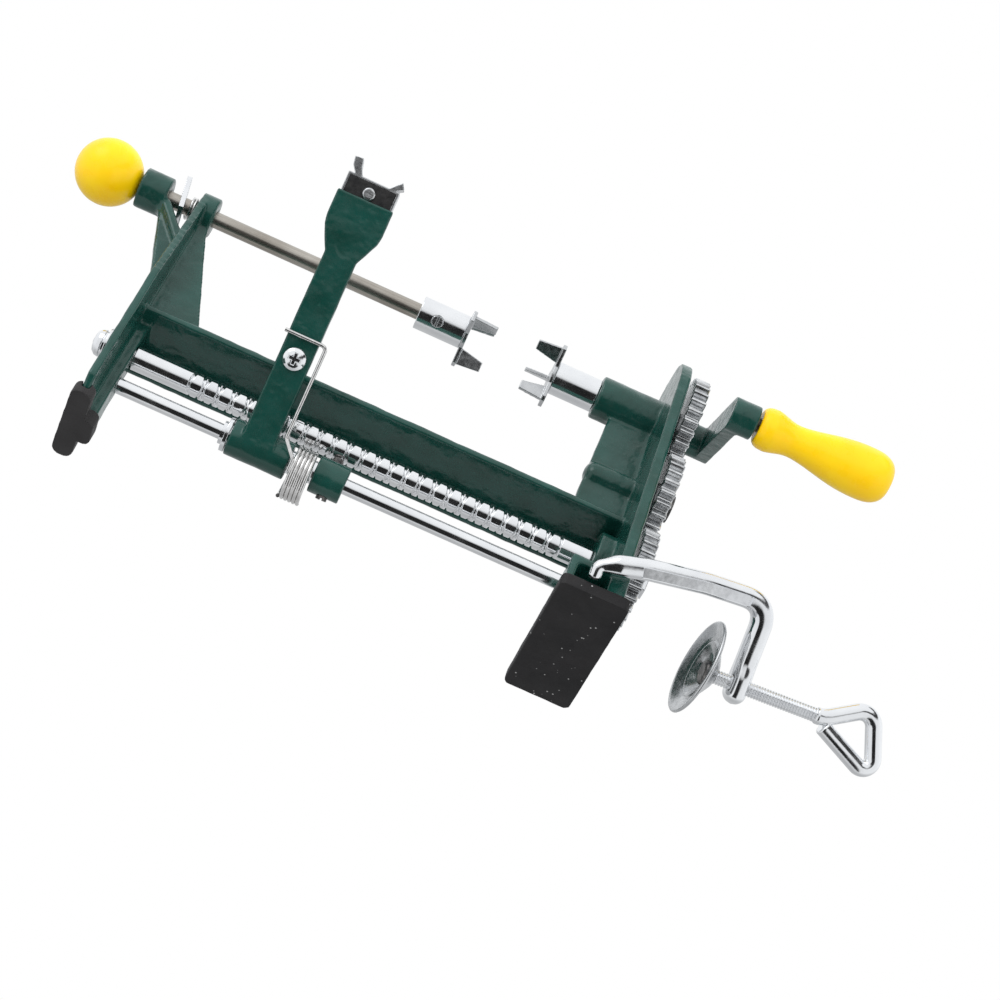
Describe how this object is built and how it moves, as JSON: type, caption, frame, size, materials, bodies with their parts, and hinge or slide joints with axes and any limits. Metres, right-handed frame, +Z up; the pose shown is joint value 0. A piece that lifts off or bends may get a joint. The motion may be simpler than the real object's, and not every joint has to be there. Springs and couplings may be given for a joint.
{
  "type": "apple peeler",
  "caption": "Clamp-on hand-cranked fruit peeler: fork spindle, geared feed screw, spring-loaded peeling arm on a sliding carriage, and a swinging table clamp.",
  "frame": {"origin": "on the table plane under the feet, below the fork axis and midway between the inner faces of the end plates", "axes": "+X along the fork axis from the ball knob to the crank, +Y away from the user, +Z up"},
  "size_m": [0.4304, 0.1317, 0.1926],
  "materials": {
    "green_paint": "gloss enamel over a cast surface",
    "chrome": "bright plated steel",
    "zinc": "plated cut gear teeth",
    "spring_steel": "bright spring wire",
    "dark_steel": "oiled dark steel",
    "black_paint": "satin black",
    "blade_steel": "ground stainless steel",
    "rubber": "matt moulded rubber",
    "yellow_plastic": "glossy moulded plastic"
  },
  "bodies": {
    "root": {"frame": "green_paint", "left_boot": "rubber", "right_pad": "rubber", "guide_rod": "chrome", "idler_stud": "dark_steel", "lock_spring": "spring_steel"},
    "drive": {"drive_spindle": "dark_steel", "drive_gear": "zinc", "driven_fork_hub": "chrome", "driven_fork": "chrome", "crank_arm": "green_paint", "crank_screw": "chrome", "handle_pin": "dark_steel"},
    "handle": {"handle_grip": "yellow_plastic"},
    "idler": {"idler_gear": "zinc"},
    "feed_screw": {"leadscrew": "chrome", "leadscrew_gear": "zinc", "leadscrew_nut": "chrome", "end_washer": "chrome", "end_lock_washer": "chrome", "end_screw": "chrome"},
    "fruit_rod": {"slide_rod": "chrome", "ball_knob": "yellow_plastic"},
    "idle_fork": {"idle_fork_hub": "chrome", "idle_fork": "chrome", "idle_set_screw": "dark_steel"},
    "lever": {"lock_lever": "chrome"},
    "carriage": {"carriage_sleeve": "chrome", "carriage_collar": "green_paint", "flange_washer": "chrome", "follower_pin": "dark_steel", "collar_screw": "dark_steel"},
    "arm": {"peeling_arm": "green_paint", "arm_screw": "chrome", "blade_holder": "black_paint", "blade_bracket": "chrome", "blade": "blade_steel", "blade_rivet": "dark_steel", "torsion_spring": "spring_steel"},
    "clamp": {"clamp_bar": "chrome"},
    "clamp_pad": {"clamp_disc": "chrome"},
    "clamp_feed": {"clamp_screw": "chrome", "clamp_handle": "chrome", "clamp_button": "dark_steel"}
  },
  "joints": [
    {"name": "crank_turn", "type": "hinge", "parent": "root", "child": "drive", "pos_m": [0.1, 0, 0.142], "axis": [1, 0, 0], "continuous": true},
    {"name": "handle_spin", "type": "hinge", "parent": "drive", "child": "handle", "pos_m": [0.16, -0.04818, 0.11761], "axis": [1, 0, 0], "continuous": true},
    {"name": "idler_turn", "type": "hinge", "parent": "root", "child": "idler", "pos_m": [0.125, 0, 0.0944], "axis": [1, 0, 0], "continuous": true},
    {"name": "leadscrew_turn", "type": "hinge", "parent": "root", "child": "feed_screw", "pos_m": [0, 0.005, 0.05048], "axis": [1, 0, 0], "continuous": true},
    {"name": "fruit_rod_slide", "type": "slide", "parent": "root", "child": "fruit_rod", "axis": [1, 0, 0], "range_m": [-0.095, 0]},
    {"name": "idle_fork_turn", "type": "hinge", "parent": "fruit_rod", "child": "idle_fork", "pos_m": [0, 0, 0.1449], "axis": [1, 0, 0], "continuous": true},
    {"name": "lock_lever_tilt", "type": "hinge", "parent": "root", "child": "lever", "pos_m": [-0.12475, 0, 0.1359], "axis": [0, 1, 0], "range_deg": [0, 8], "stiffness_Nm_per_rad": 0.02, "springref_deg": -5.73},
    {"name": "carriage_slide", "type": "slide", "parent": "root", "child": "carriage", "axis": [1, 0, 0], "range_m": [-0.047, 0.09]},
    {"name": "arm_swing", "type": "hinge", "parent": "carriage", "child": "arm", "pos_m": [-0.045, 0.005, 0.0319], "axis": [1, 0, 0], "range_deg": [-22, 35], "stiffness_Nm_per_rad": 0.5, "springref_deg": -6.88},
    {"name": "clamp_swing", "type": "hinge", "parent": "root", "child": "clamp", "pos_m": [0.10615, -0.03395, 0.01008], "axis": [0.3514, 0.866, -0.3557], "range_deg": [0, 106.14]},
    {"name": "clamp_pad_slide", "type": "slide", "parent": "clamp", "child": "clamp_pad", "axis": [-0.9916, -0.0561, -0.1162], "range_m": [-0.00127, 0.0292]},
    {"name": "clamp_screw_turn", "type": "hinge", "parent": "clamp_pad", "child": "clamp_feed", "pos_m": [0.18157, -0.01471, 0.00263], "axis": [-0.9916, -0.0561, -0.1162], "range_deg": [-360, 8280]}
  ],
  "couplings": [
    {"joint": "idler_turn", "follows": "crank_turn", "ratio": -1.1538},
    {"joint": "leadscrew_turn", "follows": "crank_turn", "ratio": 1.1538},
    {"joint": "clamp_screw_turn", "follows": "clamp_pad_slide", "rad_per_m": 4947.4}
  ]
}
